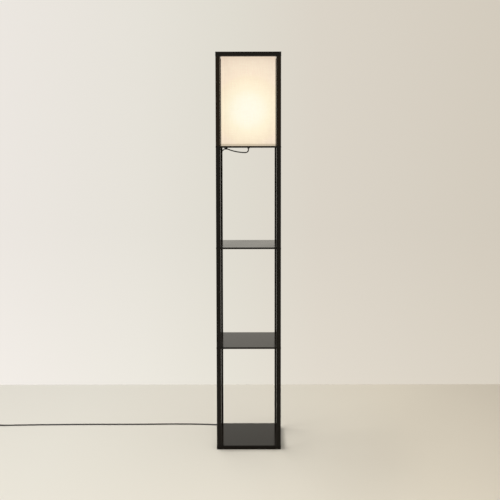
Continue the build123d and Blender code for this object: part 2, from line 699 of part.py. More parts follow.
def make_switch_cover():
    """Upper half of the housing: a domed lid with the button's hole."""
    low = SWITCH_BASE + SWITCH_GAP
    roof = SWITCH_HIGH - SWITCH_WALL
    inside = 2 * SWITCH_WALL
    with BuildPart() as cover:
        with BuildSketch(Plane.XY.offset(low)):
            with Locations((SWITCH_X, SWITCH_Y)):
                SlotOverall(SWITCH_LONG, SWITCH_WIDE)
        extrude(amount=SWITCH_HIGH - low)
        fillet(cover.faces().sort_by(Axis.Z)[-1].edges(), 3.0)
        with BuildSketch(Plane.XY.offset(low)):
            with Locations((SWITCH_X, SWITCH_Y)):
                SlotOverall(SWITCH_LONG - inside, SWITCH_WIDE - inside)
        extrude(amount=roof - low, mode=Mode.SUBTRACT)
        with BuildSketch(Plane.XY.offset(low)):
            with Locations(*BOSSES):
                Circle(BOSS_DIA / 2)
        extrude(amount=roof - low)
        with Locations([down_at(x, y, low) for x, y in BOSSES]):
            Hole((CASE_SCREW_DIA + HOLE_GAP) / 2, depth=CASE_SCREW_TOP - low)
        with Locations(*relief_planes()):
            Hole(RELIEF_DIA / 2 + 0.1, depth=2 * SWITCH_WALL)
        with Locations((SWITCH_X, SWITCH_Y, SWITCH_HIGH)):
            Hole(BUTTON_DIA / 2 + BUTTON_GAP, depth=SWITCH_WALL)
    save(cover, "switch_cover")


def make_foot_button():
    under = SWITCH_HIGH - SWITCH_WALL - BUTTON_FLANGE
    with BuildPart() as button:
        with BuildSketch(Plane.XY.offset(under)):
            with Locations((SWITCH_X, SWITCH_Y)):
                Circle(BUTTON_FLANGE_DIA / 2)
        extrude(amount=BUTTON_FLANGE)
        with BuildSketch(Plane.XY.offset(under + BUTTON_FLANGE)):
            with Locations((SWITCH_X, SWITCH_Y)):
                Circle(BUTTON_DIA / 2)
        extrude(amount=BUTTON_TOP - under - BUTTON_FLANGE)
        fillet(button.faces().sort_by(Axis.Z)[-1].edges(), 2.5)
        with BuildSketch(Plane.XY.offset(under)):
            with Locations((SWITCH_X, SWITCH_Y)):
                Circle(BUTTON_BORE / 2)
        extrude(amount=BUTTON_TOP - SWITCH_WALL - under, mode=Mode.SUBTRACT)
    save(button, "foot_button")


def make_contact_block():
    """Block under the button with a round seat for its spring."""
    with BuildPart() as block:
        with BuildSketch(Plane.XY.offset(SWITCH_WALL)):
            with Locations((SWITCH_X, SWITCH_Y)):
                RectangleRounded(34, 22, 2)
        extrude(amount=BLOCK_HIGH)
        with Locations((SWITCH_X, SWITCH_Y, SWITCH_WALL + BLOCK_HIGH)):
            Hole(SPRING_DIA / 2 + SPRING_WIRE, depth=2)
    save(block, "contact_block")


def make_switch_screws():
    """Two screws up through the base into the cover, their heads sunk in the base."""
    with BuildPart() as screws:
        with BuildSketch(Plane.XY.offset(CASE_HEAD_TOP - CASE_HEAD)):
            with Locations(*BOSSES):
                Circle(2.4)
        extrude(amount=CASE_HEAD)
        with BuildSketch(Plane.XY.offset(CASE_HEAD_TOP)):
            with Locations(*BOSSES):
                Circle(CASE_SCREW_DIA / 2)
        extrude(amount=CASE_SCREW_TOP - CASE_HEAD_TOP)
    save(screws, "switch_screws")


def make_strain_reliefs():
    """Two tapered sleeves, each with a neck in the housing's wall and a collar behind it."""
    with BuildPart() as reliefs:
        for plane in relief_planes():
            with BuildSketch(plane):
                Circle(RELIEF_DIA / 2)
            with BuildSketch(plane.offset(RELIEF_LONG)):
                Circle(RELIEF_TIP_DIA / 2)
            loft()
            with BuildSketch(plane.offset(-RELIEF_NECK)):
                Circle(RELIEF_DIA / 2)
            extrude(amount=RELIEF_NECK)
            with BuildSketch(plane.offset(-RELIEF_NECK - RELIEF_COLLAR)):
                Circle(RELIEF_COLLAR_DIA / 2)
            extrude(amount=RELIEF_COLLAR)
    save(reliefs, "strain_reliefs")


# ---- wound forms -------------------------------------------------------------------------------
def biarc_wire(points, tangents):
    """Join points by pairs of arcs that keep each point's direction."""
    for (start, end), (way_in, way_out) in zip(zip(points, points[1:]), zip(tangents, tangents[1:])):
        chord, both = end - start, way_in + way_out
        along, spread = chord.dot(both), 4 - both.dot(both)
        if spread < 1e-9:
            reach = chord.dot(chord) / (2 * along)
        else:
            reach = (sqrt(along**2 + chord.dot(chord) * spread) - along) / spread
        middle_in, middle_out = start + way_in * reach, end - way_out * reach
        joint = (middle_in + middle_out) * 0.5
        TangentArc(start, joint, tangent=way_in)
        TangentArc(joint, end, tangent=middle_out - middle_in)


def coil_radius(turn):
    """Spirals in over the lower layer and out again over the upper one."""
    half = COIL_TURNS_IN + COIL_CLIMB / 2
    return COIL_OUTER - COIL_PITCH * (half - abs(turn - half))


def coil_height(turn):
    climb = min(max((turn - COIL_TURNS_IN) / COIL_CLIMB, 0), 1)
    return COIL_Z + COIL_PITCH * climb * climb * (3 - 2 * climb)


def coil_point(turn):
    angle = pi / 2 + 2 * pi * turn
    return Vector(
        COIL_X + coil_radius(turn) * cos(angle), COIL_Y + coil_radius(turn) * sin(angle), coil_height(turn)
    )


def spring_point(turn):
    angle = 2 * pi * turn
    low = SWITCH_WALL + BLOCK_HIGH - 2 + SPRING_WIRE / 2
    high = BUTTON_TOP - SWITCH_WALL - SPRING_WIRE / 2
    return Vector(
        SWITCH_X + SPRING_DIA / 2 * cos(angle), SWITCH_Y + SPRING_DIA / 2 * sin(angle),
        low + (high - low) * turn / SPRING_TURNS,
    )


def wound_points(point_at, turns, per_turn):
    """Points and unit directions along a wound form, at even steps."""
    count = round(turns * per_turn)
    steps = [i / per_turn for i in range(count + 1)]
    nudge = 1e-4
    points = [point_at(t) for t in steps]
    tangents = [(point_at(t + nudge) - point_at(t - nudge)).normalized() for t in steps]
    return points, tangents


def least_gap(point_at, turns, thick):
    """Least gap between two turns of a wound form, measured on points."""
    per_turn = 48
    line = [point_at(i / per_turn) for i in range(round(turns * per_turn) + 1)]
    apart = per_turn // 2
    return min(
        (b - a).length for i, a in enumerate(line) for b in line[i + apart:]
    ) - thick


def make_cord_coil():
    """The put-away length: a lead from the switch, two layers of turns, and a lead to the plug."""
    turns = 2 * COIL_TURNS_IN + COIL_CLIMB
    points, tangents = wound_points(coil_point, turns, 4)
    tangents[0], tangents[-1] = Vector(-1, 0, 0), Vector(1, 0, 0)
    start = Vector(SWITCH_FAR - RELIEF_LONG, SWITCH_Y, SWITCH_AXIS)
    straight_end = start - Vector(CORD_DIA, 0, 0)
    plug_end = points[-1] + Vector(PLUG_LEAD, 0, 0)
    with BuildPart() as coil:
        with BuildLine() as path:
            Line(start, straight_end)
            biarc_wire([straight_end, points[0]], [Vector(-1, 0, 0), Vector(-1, 0, 0)])
            biarc_wire(points, tangents)
            Line(points[-1], plug_end)
        with BuildSketch(Plane(origin=start, z_dir=(-1, 0, 0))):
            cord_section()
        sweep()
    length = sum(edge.length for edge in path.edges())
    print(f"cord_coil: length {length:.0f}, mean turn {2 * COIL_MEAN:.0f} across")
    print(f"  least gap between turns {least_gap(coil_point, turns, CORD_DIA):.2f}")
    print(f"  volume {coil.part.volume:.0f}, section x length {CORD_AREA * length:.0f}")
    save(coil, "cord_coil")


def make_button_spring():
    points, tangents = wound_points(spring_point, SPRING_TURNS, 4)
    with BuildPart() as spring:
        with BuildLine():
            biarc_wire(points, tangents)
        with BuildSketch(Plane(origin=points[0], z_dir=tangents[0])):
            RegularPolygon(SPRING_WIRE / 2, 6)
        sweep()
    print(f"button_spring: least gap {least_gap(spring_point, SPRING_TURNS, SPRING_WIRE):.2f}")
    save(spring, "button_spring")


def make_coil_tie():
    """Flat band round the bundle of turns, on the side away from the lamp."""
    inner_r = COIL_OUTER - COIL_PITCH * (COIL_TURNS_IN + COIL_CLIMB / 2) - CORD_DIA / 2
    wide = COIL_OUTER + CORD_DIA / 2 - inner_r + 2 * TIE_SLACK
    high = CORD_DIA + COIL_PITCH + 2 * TIE_SLACK
    middle_x = COIL_X - (COIL_OUTER + CORD_DIA / 2 + inner_r) / 2
    middle_z = COIL_Z + COIL_PITCH / 2
    with BuildPart() as tie:
        with BuildSketch(Plane.XZ.offset(-COIL_Y - TIE_WIDE / 2)):
            with Locations((middle_x, middle_z)):
                RectangleRounded(wide + 2 * TIE_THICK, high + 2 * TIE_THICK, 3)
                RectangleRounded(wide, high, 3 - TIE_THICK, mode=Mode.SUBTRACT)
        extrude(amount=TIE_WIDE)
    save(tie, "coil_tie")


# ---- plug --------------------------------------------------------------------------------------
PLUG_X = COIL_X + PLUG_LEAD                   # where the cord enters the plug
PLUG_Y = COIL_Y - COIL_OUTER
PLUG_Z = PLUG_HIGH / 2


def make_plug_body():
    """Moulded plug: a round neck that swells into a rounded block."""
    neck = Plane(origin=(PLUG_X, PLUG_Y, PLUG_Z), x_dir=(0, 1, 0), z_dir=(1, 0, 0))
    block = neck.offset(PLUG_TAPER)
    with BuildPart() as plug:
        with BuildSketch(neck):
            Circle(RELIEF_TIP_DIA / 2)
        with BuildSketch(block):
            RectangleRounded(PLUG_WIDE, PLUG_HIGH, 6)
        loft()
        with BuildSketch(block):
            RectangleRounded(PLUG_WIDE, PLUG_HIGH, 6)
        extrude(amount=PLUG_BODY)
        chamfer(plug.faces().sort_by(Axis.X)[-1].edges(), 1.2)
    save(plug, "plug_body")


def make_plug_blades():
    face = Plane(origin=(PLUG_X + PLUG_TAPER + PLUG_BODY, PLUG_Y, PLUG_Z), x_dir=(0, 1, 0), z_dir=(1, 0, 0))
    with BuildPart() as blades:
        with BuildSketch(face):
            with Locations((-BLADE_APART / 2, 0), (BLADE_APART / 2, 0)):
                Rectangle(BLADE_THICK, BLADE_WIDE)
        extrude(amount=BLADE_LONG)
        chamfer(blades.faces().sort_by(Axis.X)[-2:].edges().filter_by(Axis.Z), BLADE_THICK * 0.3)
        hole_plane = Plane(
            origin=(face.origin.X + BLADE_LONG - 5, PLUG_Y, PLUG_Z), x_dir=(1, 0, 0), z_dir=(0, 1, 0)
        )
        with BuildSketch(hole_plane.offset(-PLUG_WIDE / 2)):
            Circle(1.6)
        extrude(amount=PLUG_WIDE, mode=Mode.SUBTRACT)
    save(blades, "plug_blades")


def make_tower():
    make_base_board()
    make_base_screws()
    for level in LEVELS:
        for corner, (x, y) in CORNERS.items():
            make_post(f"{corner}_post_{level}", x, y, level)
    for name, top in (("lower", LOWER_TOP), ("middle", MIDDLE_TOP), ("lamp", LAMP_SHELF_TOP)):
        make_shelf(f"{name}_shelf", top)
        make_studs(f"{name}_shelf_studs", top)
    for name, side in (("front", -1), ("back", 1)):
        make_long_rail(f"top_rail_{name}", side)
    for name, side in (("left", -1), ("right", 1)):
        make_side_rail(f"top_rail_{name}", side)
    make_frame_dowels()


def make_lamp():
    make_shade()
    ring_rise = RING_WIRE / 2
    make_shade_ring("shade_ring_bottom", LAMP_SHELF_TOP + ring_rise)
    make_shade_ring("shade_ring_top", SHADE_TOP - HEM_HIGH / 2)
    make_flange_plate()
    make_flange_screws()
    make_stem_pipe()
    make_holder_cap()
    make_holder_shell()
    make_holder_liner()
    make_screw_sleeve()
    make_centre_contact()
    make_bulb_globe()
    make_bulb_cap()


def make_cords():
    make_stem_cord()
    make_cord_bushing()
    make_cord_clips()
    make_cord("cord_under_shelf", LOOP_ROUTE)
    make_cord("cord_up_post", POST_ROUTE)
    make_cord("cord_on_floor", FLOOR_ROUTE)
    make_cord_coil()
    make_coil_tie()


def make_switch():
    make_switch_base()
    make_switch_cover()
    make_foot_button()
    make_button_spring()
    make_contact_block()
    make_switch_screws()
    make_strain_reliefs()


make_tower()
make_lamp()
make_cords()
make_switch()
make_plug_body()
make_plug_blades()
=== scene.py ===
from math import cos, pi, radians, sin

import bmesh
import bpy
from mathutils import Matrix, Vector


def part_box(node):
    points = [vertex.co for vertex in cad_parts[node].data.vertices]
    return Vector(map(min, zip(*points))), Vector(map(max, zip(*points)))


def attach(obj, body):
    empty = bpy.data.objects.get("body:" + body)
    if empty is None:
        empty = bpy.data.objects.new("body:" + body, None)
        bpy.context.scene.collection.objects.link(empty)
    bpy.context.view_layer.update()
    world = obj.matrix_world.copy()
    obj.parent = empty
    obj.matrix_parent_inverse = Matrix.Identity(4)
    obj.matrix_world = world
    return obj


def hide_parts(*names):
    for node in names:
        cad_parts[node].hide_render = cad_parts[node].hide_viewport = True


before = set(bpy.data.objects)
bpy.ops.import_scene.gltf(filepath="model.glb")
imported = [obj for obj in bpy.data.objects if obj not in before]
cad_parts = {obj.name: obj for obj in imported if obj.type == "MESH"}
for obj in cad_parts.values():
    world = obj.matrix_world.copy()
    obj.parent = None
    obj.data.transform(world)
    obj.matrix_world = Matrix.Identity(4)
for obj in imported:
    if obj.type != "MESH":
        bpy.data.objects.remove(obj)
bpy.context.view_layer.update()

bl_info = {
    "name": "Shelf floor lamp",
    "version": (1, 0, 0),
    "blender": (4, 5, 0),
    "location": "3D View > Sidebar > Floor lamp",
    "description": "Finishes a slim shelf tower with a lit fabric lamp box on top",
    "category": "Object",
}

MM = 0.001
CORNERS = ("front_left", "front_right", "back_left", "back_right")
OPEN_LEVELS = ("bottom", "middle", "upper")      # the levels of posts below the lamp box


# ---- settings ----------------------------------------------------------------------------------
class FinishSettings(bpy.types.PropertyGroup):
    """Colours and sheen of the tower and its cord."""

    black: bpy.props.FloatVectorProperty(
        name="Black", description="Lacquer of the posts, rails and boards", subtype="COLOR",
        size=4, min=0, max=1, default=(0.0096, 0.0077, 0.0057, 1),
    )
    sheen: bpy.props.FloatProperty(
        name="Roughness", description="Roughness of the black lacquer", subtype="FACTOR",
        min=0.05, max=1, default=0.12,
    )
    cord: bpy.props.FloatVectorProperty(
        name="Cord", description="Soft jacket of the mains cord", subtype="COLOR",
        size=4, min=0, max=1, default=(0.014, 0.013, 0.012, 1),
    )


class ShadeSettings(bpy.types.PropertyGroup):
    """Size, colour and light of the fabric shade."""

    cloth: bpy.props.FloatVectorProperty(
        name="Cloth", description="Cream linen of the shade", subtype="COLOR",
        size=4, min=0, max=1, default=(0.30, 0.265, 0.213, 1),
    )
    hem: bpy.props.FloatProperty(
        name="Hem", description="Height of the tape along the shade's top and bottom", unit="LENGTH",
        min=0.002, max=0.03, default=0.009,
    )
    tape: bpy.props.FloatProperty(
        name="Corner tape", description="Width of the folded tape on each side of a corner",
        unit="LENGTH", min=0.004, max=0.03, default=0.0105,
    )
    glow: bpy.props.FloatProperty(
        name="Glow", description="Brightness of the lit cloth", subtype="FACTOR",
        min=0, max=4, default=1.0,
    )
    weave: bpy.props.FloatProperty(
        name="Weave", description="From one thread of the linen to the next", unit="LENGTH",
        min=0.0003, max=0.005, default=0.0009,
    )


class CordSettings(bpy.types.PropertyGroup):
    """The mains cord."""

    diameter: bpy.props.FloatProperty(
        name="Diameter", description="Diameter of the cord", unit="LENGTH",
        min=0.003, max=0.012, default=0.005,
    )
    to_switch: bpy.props.FloatProperty(
        name="To the switch", description="Length from the lamp shelf to the foot switch",
        unit="LENGTH", min=0.5, max=6, default=2.43,
    )
    put_away: bpy.props.FloatProperty(
        name="Put away", description="Length from the foot switch to the plug, wound in a coil",
        unit="LENGTH", min=0.2, max=6, default=0.76,
    )


class StudioSettings(bpy.types.PropertyGroup):
    """Floor, wall, light and camera."""

    wall: bpy.props.FloatProperty(
        name="Wall", description="Distance of the wall behind the lamp's middle", unit="LENGTH",
        min=0.3, max=6, default=0.745,
    )
    key: bpy.props.FloatProperty(
        name="Window light", description="Power of the wide light at the left", unit="POWER",
        min=0, max=3000, default=910,
    )
    fill: bpy.props.FloatProperty(
        name="Fill", description="Strength of the even light from all around",
        min=0, max=3, default=0.75,
    )


# ---- node helpers ------------------------------------------------------------------------------
class Nodes:
    """A node tree, emptied, and short ways to add nodes to it."""

    def __init__(self, tree):
        self.tree = tree
        tree.nodes.clear()

    def add(self, kind, inputs=None, **settings):
        """A new node; an input takes a value or the socket that feeds it."""
        made = self.tree.nodes.new("ShaderNode" + kind)
        for name, value in settings.items():
            setattr(made, name, value)
        for name, value in (inputs or {}).items():
            if isinstance(value, bpy.types.NodeSocket):
                self.tree.links.new(value, made.inputs[name])
            else:
                made.inputs[name].default_value = value
        return made

    def place(self, stretch=(1, 1, 1), source="Object"):
        """Coordinates in metres, stretched along the axes."""
        coordinates = self.add("TexCoord")
        return self.add("Mapping", {"Vector": coordinates.outputs[source], "Scale": stretch}).outputs[0]

    def noise(self, where, scale, detail=3.0, roughness=0.5):
        """Cloudy noise about 0.5, finer for a higher scale."""
        return self.add(
            "TexNoise", {"Vector": where, "Scale": scale, "Detail": detail, "Roughness": roughness}
        ).outputs["Fac"]

    def ramp(self, value, *stops):
        """Colour ramp; each stop is (position, colour)."""
        made = self.add("ValToRGB", {"Fac": value})
        elements = made.color_ramp.elements
        while len(elements) < len(stops):
            elements.new(0.5)
        for element, (position, colour) in zip(elements, stops):
            element.position = position
            element.color = colour
        return made.outputs["Color"]

    def span(self, value, low, high, to_low=0.0, to_high=1.0, smooth=False):
        """Turn the range from low to high into the one from to_low to to_high."""
        ends = {"From Min": low, "From Max": high, "To Min": to_low, "To Max": to_high}
        made = self.add("MapRange", {"Value": value, **ends})
        if smooth:
            made.interpolation_type = "SMOOTHSTEP"
        return made.outputs["Result"]

    def maths(self, operation, a, b=0.0):
        """One sum, product or other operation."""
        return self.add("Math", {0: a, 1: b}, operation=operation).outputs[0]

    def axis(self, name, where=None):
        """One coordinate of a place, by itself."""
        return self.add("SeparateXYZ", {"Vector": where or self.place()}).outputs[name]

    def in_view(self):
        """1 for what the camera sees directly, in a reflection or through glass, otherwise 0."""
        ray = self.add("LightPath")
        indirect = self.maths("MAXIMUM", ray.outputs["Is Glossy Ray"], ray.outputs["Is Transmission Ray"])
        return self.maths("MAXIMUM", ray.outputs["Is Camera Ray"], indirect)

    def bump(self, height, distance, strength):
        """Fine relief for a shader's normal; distance is its depth in metres."""
        return self.add(
            "Bump", {"Height": height, "Distance": distance, "Strength": strength}
        ).outputs["Normal"]


class Shader(Nodes):
    """The node tree of a new material."""

    def __init__(self, name):
        self.material = bpy.data.materials.new(name)
        self.material.use_nodes = True
        super().__init__(self.material.node_tree)
        self.output = self.add("OutputMaterial")

    def finish(self, surface):
        """Show a shader on the surface and give the material back."""
        self.tree.links.new(surface.outputs[0], self.output.inputs["Surface"])
        return self.material


def scaled(colour, factor):
    """A colour made darker or lighter, and opaque."""
    return (*(min(1.0, channel * factor) for channel in colour[:3]), 1)


def screen_colour(rgb):
    """Scene-linear colour of a pale colour that is given as it shows on a screen, 0 to 255."""
    return (*(((channel / 255 + 0.055) / 1.055) ** 2.4 for channel in rgb), 1)


# ---- materials ---------------------------------------------------------------------------------
LACQUER_IOR = 1.22                 # a thin satin coat, fitted to the gleam of the shelves
PAINTED_LAMP_LIGHT = (1.9, 1.45, 0.9)        # painted warm light: the lacquer beside the shade is made lighter and warmer, as if lit by the lamp


def black_lacquer(name, along, tint=(1, 1, 1), gleam=0.5):
    """Satin black lacquer over fine-grained board; the grain runs along the given axis, and a tint other
    than white paints light into the black.
    """
    look = bpy.context.scene.lamp_finish
    black = (*(channel * part for channel, part in zip(look.black, tint)), 1)
    shader = Shader(name)
    stretch = [40.0, 40.0, 40.0]
    stretch["XYZ".index(along)] = 1.6
    grain = shader.noise(shader.place(stretch), scale=9.0, detail=5.0, roughness=0.62)
    blotch = shader.noise(shader.place(), scale=7.0, detail=2.0)
    peel = shader.noise(shader.place(), scale=900.0, detail=2.0)
    rough = shader.maths(
        "ADD", shader.span(blotch, 0.3, 0.7, look.sheen - 0.04, look.sheen + 0.05),
        shader.span(grain, 0.3, 0.7, -0.02, 0.03),
    )
    relief = shader.maths("ADD", shader.maths("MULTIPLY", grain, 0.7), shader.maths("MULTIPLY", peel, 0.3))
    return shader.finish(shader.add("BsdfPrincipled", {
        "Base Color": shader.ramp(grain, (0.3, scaled(black, 0.85)), (0.72, scaled(black, 1.25))),
        "Roughness": rough, "IOR": LACQUER_IOR, "Specular IOR Level": gleam,
        "Normal": shader.bump(relief, 0.02 * MM, 0.35),
    }))


def metal(name, colour, roughness, brushed=None):
    """Plated or turned metal, with fine tool marks, which run along an axis where it is brushed."""
    shader = Shader(name)
    stretch = [60.0, 60.0, 60.0]
    if brushed:
        stretch["XYZ".index(brushed)] = 4.0
    marks = shader.noise(shader.place(stretch), scale=14.0, detail=4.0, roughness=0.6)
    smudge = shader.noise(shader.place(), scale=60.0, detail=2.0)
    return shader.finish(shader.add("BsdfPrincipled", {
        "Base Color": shader.ramp(marks, (0.3, scaled(colour, 0.85)), (0.75, scaled(colour, 1.08))),
        "Metallic": 1.0,
        "Roughness": shader.span(smudge, 0.3, 0.7, roughness * 0.8, roughness * 1.25),
        "Normal": shader.bump(marks, 0.02 * MM, 0.5),
    }))


def moulded(name, colour, roughness, grain_deep=0.03 * MM):
    """Moulded plastic or rubber with a fine spark-eroded grain."""
    shader = Shader(name)
    grain = shader.noise(shader.place(), scale=1500.0)
    cloud = shader.noise(shader.place(), scale=35.0, detail=2.0)
    return shader.finish(shader.add("BsdfPrincipled", {
        "Base Color": shader.ramp(cloud, (0.3, scaled(colour, 0.85)), (0.7, scaled(colour, 1.2))),
        "Roughness": shader.span(cloud, 0.3, 0.7, roughness - 0.05, roughness + 0.06),
        "IOR": 1.48,
        "Normal": shader.bump(grain, grain_deep, 0.7),
    }))


def beech():
    """Pale dowel wood, grain upright."""
    shader = Shader("beech_dowel")
    grain = shader.noise(shader.place((70, 70, 6)), scale=10.0, detail=4.0)
    return shader.finish(shader.add("BsdfPrincipled", {
        "Base Color": shader.ramp(grain, (0.3, (0.47, 0.30, 0.16, 1)), (0.7, (0.66, 0.47, 0.28, 1))),
        "Roughness": 0.62,
        "Normal": shader.bump(grain, 0.08 * MM, 0.6),
    }))


def cord_jacket():
    """Smooth soft jacket, a little cloudy from handling."""
    colour = bpy.context.scene.lamp_finish.cord
    shader = Shader("black_cord")
    cloud = shader.noise(shader.place(), scale=45.0)
    fine = shader.noise(shader.place(), scale=1100.0, detail=2.0)
    return shader.finish(shader.add("BsdfPrincipled", {
        "Base Color": shader.ramp(cloud, (0.3, scaled(colour, 0.8)), (0.7, scaled(colour, 1.35))),
        "Roughness": shader.span(cloud, 0.3, 0.7, 0.36, 0.48),
        "Normal": shader.bump(fine, 0.02 * MM, 0.6),
    }))


def dressed(node, material):
    """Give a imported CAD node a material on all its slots."""
    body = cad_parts[node]
    if not body.material_slots:
        body.data.materials.append(material)
    for place in body.material_slots:
        place.material = material


def dress_all(nodes, material):
    """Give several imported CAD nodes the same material."""
    for node in nodes:
        dressed(node, material)


# ---- mesh helpers ------------------------------------------------------------------------------
def new_piece(name, data, material, body="lamp"):
    """Link a finished mesh or curve as a piece that rides on a body."""
    piece = bpy.data.objects.new(name, data)
    bpy.context.scene.collection.objects.link(piece)
    data.materials.append(material)
    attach(piece, body)
    return piece


def to_mesh(bm, name, smooth=None, turn=True):
    """Write a bmesh out, its faces turned outwards or as they are.

    With an angle for smooth, faces that meet flatter than it are shaded smooth.
    """
    if turn:
        bmesh.ops.recalc_face_normals(bm, faces=bm.faces)
    data = bpy.data.meshes.new(name)
    if smooth is not None:
        for face in bm.faces:
            face.smooth = True
        for edge in bm.edges:
            edge.smooth = len(edge.link_faces) == 2 and edge.calc_face_angle(0) < radians(smooth)
    bm.to_mesh(data)
    bm.free()
    return data


def spun(profile, steps, closed=False):
    """Turn a line of (radius, height) points about the upright axis; a closed line makes a ring."""
    bm = bmesh.new()
    line = [bm.verts.new((r, 0, z)) for r, z in profile]
    ends = line[1:] + line[:1] if closed else line[1:]
    edges = [bm.edges.new(pair) for pair in zip(line, ends)]
    bmesh.ops.spin(
        bm, geom=line + edges, cent=(0, 0, 0), axis=(0, 0, 1), angle=2 * pi, steps=steps, use_merge=True,
    )
    bmesh.ops.remove_doubles(bm, verts=bm.verts, dist=MM / 1000)
    return bm


def joined(parts):
    """One bmesh out of several, which are used up."""
    whole = bmesh.new()
    for part in parts:
        data = bpy.data.meshes.new("part")
        part.to_mesh(data)
        part.free()
        whole.from_mesh(data)
        bpy.data.meshes.remove(data)
    return whole


# ---- cord --------------------------------------------------------------------------------------
def box_mm(node):
    """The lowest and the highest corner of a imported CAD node, in millimetres, to a hundredth."""
    return [tuple(round(value / MM, 2) for value in corner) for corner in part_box(node)]


SWITCH_LOW, SWITCH_HIGH = box_mm("switch_cover")
RELIEFS_LOW, RELIEFS_HIGH = box_mm("strain_reliefs")
PLUG_LOW, PLUG_HIGH = box_mm("plug_body")
BUTTON_TOP = box_mm("foot_button")[1][2]
SWITCH_X, SWITCH_Y, CORD_Z = ((low + high) / 2 for low, high in zip(RELIEFS_LOW, RELIEFS_HIGH))
SWITCH_HALF = (SWITCH_HIGH[0] - SWITCH_LOW[0]) / 2

# Control points of the cord from the bushing down to the switch, in millimetres.
BUSH_MOUTH = (0, 0, 1219.5)
MAINS_POINTS = [
    BUSH_MOUTH, (0, 0, 1212.5), (-3, 2.2, 1206.6), (-8.6, 6.4, 1203.3), (-17, 12.6, 1202.8),
    (-30, 22, 1203.6), (-47, 35.2, 1205.8), (-63, 48.2, 1209.2), (-77, 61.6, 1213.4), (-87, 75, 1217),
    (-92.5, 85.84, 1218.8), (-96.5, 95, 1218.8), (-100.4, 103.94, 1218.8), (-102.5, 119, 1218.3),
    (-104, 132, 1217), (-108.5, 141, 1214.5), (-115, 144, 1208), (-119.6, 141.5, 1197),
    (-120.5, 136.5, 1182), (-120.5, 133.2, 1162), (-120.5, 133.2, 1142),
    (-120.5, 133.2, 66), (-120.5, 133.2, 48), (-121, 136, 34), (-124, 140, 20), (-131, 143, 9),
    (-142, 146, 3.4), (-157, 150, 2.5), (-181, 153.6, 2.5), (-217, 155.8, 2.5), (-268, 158, 2.5),
    (-330, 158.8, 2.5), (-398, 157.5, 2.5), (-467, 156, 2.5), (-536, 155.1, 2.5), (-606, 155.4, 2.5),
    (-676, 155.6, 2.5), (-745, 154.8, 2.5), (-814, 153.4, 2.5), (-882, 151.9, 2.5),
    (-950, 149.9, 2.5), (-1016, 147.2, 2.5), (-1070, 144.9, 2.5), (-1103, 143.9, 3.6),
    (-1122, 143.6, 6.4), (-1136, 143.6, 8), (-1150, 143.6, 8),
]

# Coil of the put-away length, in millimetres: two turns in, half a turn up, two turns out.
COIL_IN, COIL_CLIMB = 2.0, 0.5
COIL_PITCH = 5.5         # one turn to the next, and one layer to the next
COIL_MEAN = 25.5         # radius at the middle of the turns
COIL_OUTER = COIL_MEAN + COIL_PITCH * (COIL_IN + COIL_CLIMB / 2) / 2
COIL_LOW = 3.5
COIL_LEAD = 34.0         # from the switch's relief to the first turn
LEAD_EXIT = (RELIEFS_LOW[0], SWITCH_Y, CORD_Z)
LEAD_SINKS = ((6, 8.0), (14, 6.4), (24, 3.8))      # distance from there, height of the cord's middle
COIL_CENTRE = (LEAD_EXIT[0] - COIL_LEAD, LEAD_EXIT[1] - COIL_OUTER)
TURN_POINTS = 16
TAIL_STRAIGHT, PLUG_LEAD = 5.0, 16.0     # from the last turn: a first point, and the plug


def coil_points():
    """Control points of the coil's turns, in millimetres."""
    half = COIL_IN + COIL_CLIMB / 2
    points = []
    for step in range(round(2 * half * TURN_POINTS) + 1):
        turn = step / TURN_POINTS
        angle = pi / 2 + 2 * pi * turn
        radius = COIL_OUTER - COIL_PITCH * (half - abs(turn - half))
        climb = min(max((turn - COIL_IN) / COIL_CLIMB, 0), 1)
        points.append((
            COIL_CENTRE[0] + radius * cos(angle), COIL_CENTRE[1] + radius * sin(angle),
            COIL_LOW + COIL_PITCH * climb * climb * (3 - 2 * climb),
        ))
    return points


def cord_curve(name, points, diameter, material):
    """A round cord along an open smooth spline; its control points are in millimetres."""
    data = bpy.data.curves.new(name, "CURVE")
    data.dimensions = "3D"
    spline = data.splines.new("NURBS")
    spline.points.add(len(points) - 1)
    for place, (x, y, z) in zip(spline.points, points):
        place.co = (x * MM, y * MM, z * MM, 1)
    spline.order_u = 3
    spline.use_endpoint_u = True
    spline.use_smooth = True
    data.resolution_u = 10
    data.bevel_depth = diameter / 2
    data.bevel_resolution = 4
    data.use_fill_caps = True
    return new_piece(name, data, material)


# Strain reliefs, in millimetres; lengths are from the switch's end.
COLLAR = ((0, -5.2), (5.5, -5.2), (5.5, -3.2), (4.5, -3.2))     # radius and length, inside the switch
RELIEF_LONG = RELIEFS_HIGH[0] - SWITCH_HIGH[0]
RELIEF_RADIUS, RELIEF_TIP, RELIEF_MOUTH = 4.5, 3.2, 2.8
RIBS, RIB_FIRST, RIB_PITCH, RIB_DEEP = 7, 1.6, 2.9, 0.7
GROOVE, CREST = (0.2, 1.1), (1.4, 2.6)         # where these begin and end, after a rib's start

# Rings on the foot button, and grip ribs on both sides of the plug's block, in millimetres.
RING_RADII = (3.0, 5.8)
RING_SECTION = ((-0.6, -0.1), (-0.42, 0.24), (0, 0.38), (0.42, 0.24), (0.6, -0.1))
GRIP_PLACES = (15.0, 11.5, 8.0)                # back from the block's end
GRIP_SIZE = (1.7, 1.7, 8.4)
GRIP_ROUND = 0.6


def relief_outline():
    """Half outline of a strain relief, from its collar inside the switch to its tip."""
    points = [*COLLAR, (RELIEF_RADIUS, RIB_FIRST)]
    for rib in range(RIBS):
        start = RIB_FIRST + rib * RIB_PITCH
        crest = RELIEF_RADIUS + (RELIEF_TIP - RELIEF_RADIUS) * (start + sum(CREST) / 2) / RELIEF_LONG
        points += [(crest - RIB_DEEP, start + along) for along in GROOVE]
        points += [(crest, start + along) for along in CREST]
    points += [(RELIEF_MOUTH, RELIEF_LONG), (0, RELIEF_LONG)]
    return [(r * MM, (SWITCH_HALF + z) * MM) for r, z in points]


